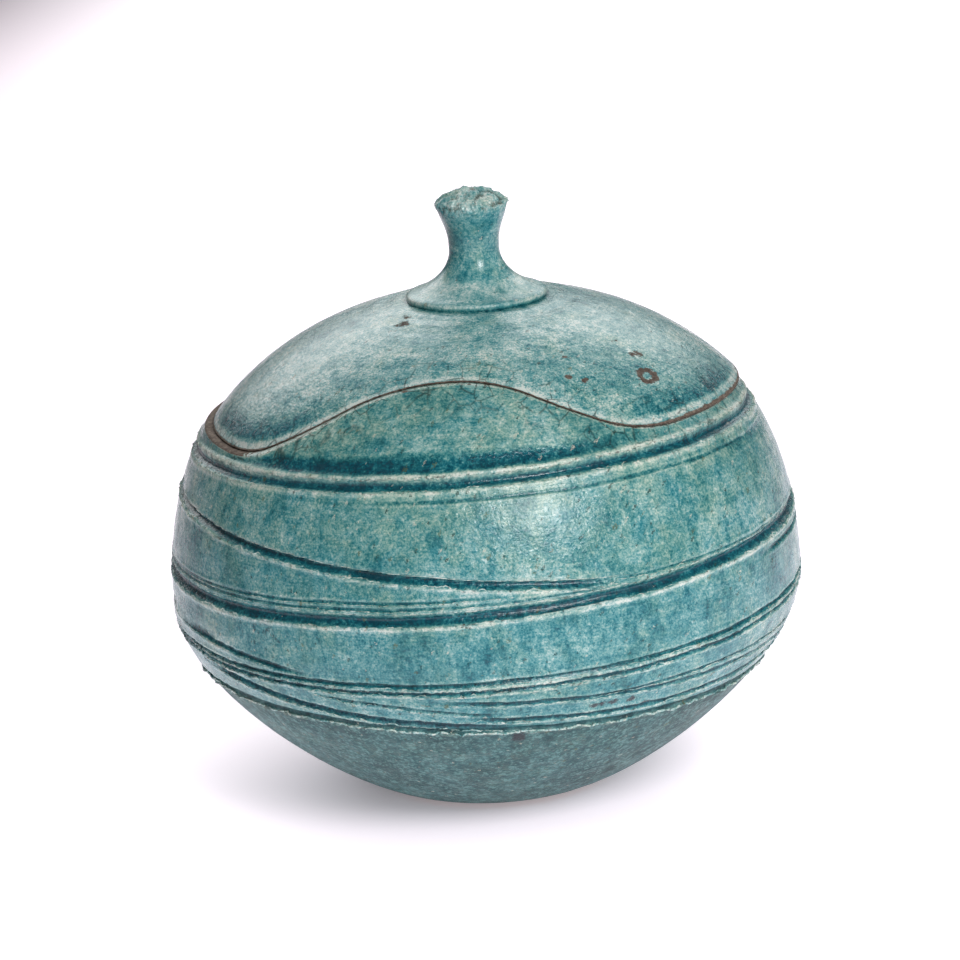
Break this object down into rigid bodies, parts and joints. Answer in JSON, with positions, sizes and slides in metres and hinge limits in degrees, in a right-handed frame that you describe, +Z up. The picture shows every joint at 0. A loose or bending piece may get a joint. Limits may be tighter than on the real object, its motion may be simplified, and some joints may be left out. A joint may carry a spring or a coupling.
{
  "type": "lidded raku jar",
  "caption": "Squat round glazed jar with horizontal carved lines and a domed lift-off lid, cut from the same form along a wavy seam, with a waisted knob.",
  "frame": {"origin": "centre of the foot, on the surface the jar stands on", "axes": "+Z up through the knob, -Y towards the front, where the tall crest of the seam is, +X to the right seen from the front"},
  "size_m": [0.2196, 0.2196, 0.2112],
  "materials": {
    "jar_glaze": "glossy copper turquoise raku glaze, matte near the foot",
    "lid_glaze": "glossy copper turquoise raku glaze",
    "knob_glaze": "glossy copper turquoise raku glaze",
    "bare_clay": "bare smoked raku clay"
  },
  "bodies": {
    "jar": {"jar_body": "jar_glaze"},
    "lid": {"lid_dome": "lid_glaze", "lid_knob": "knob_glaze", "lid_strip": "bare_clay"}
  },
  "joints": [
    {"name": "lid_lift", "type": "slide", "parent": "jar", "child": "lid", "axis": [0, 0, 1], "range_m": [0, 0.12]}
  ]
}
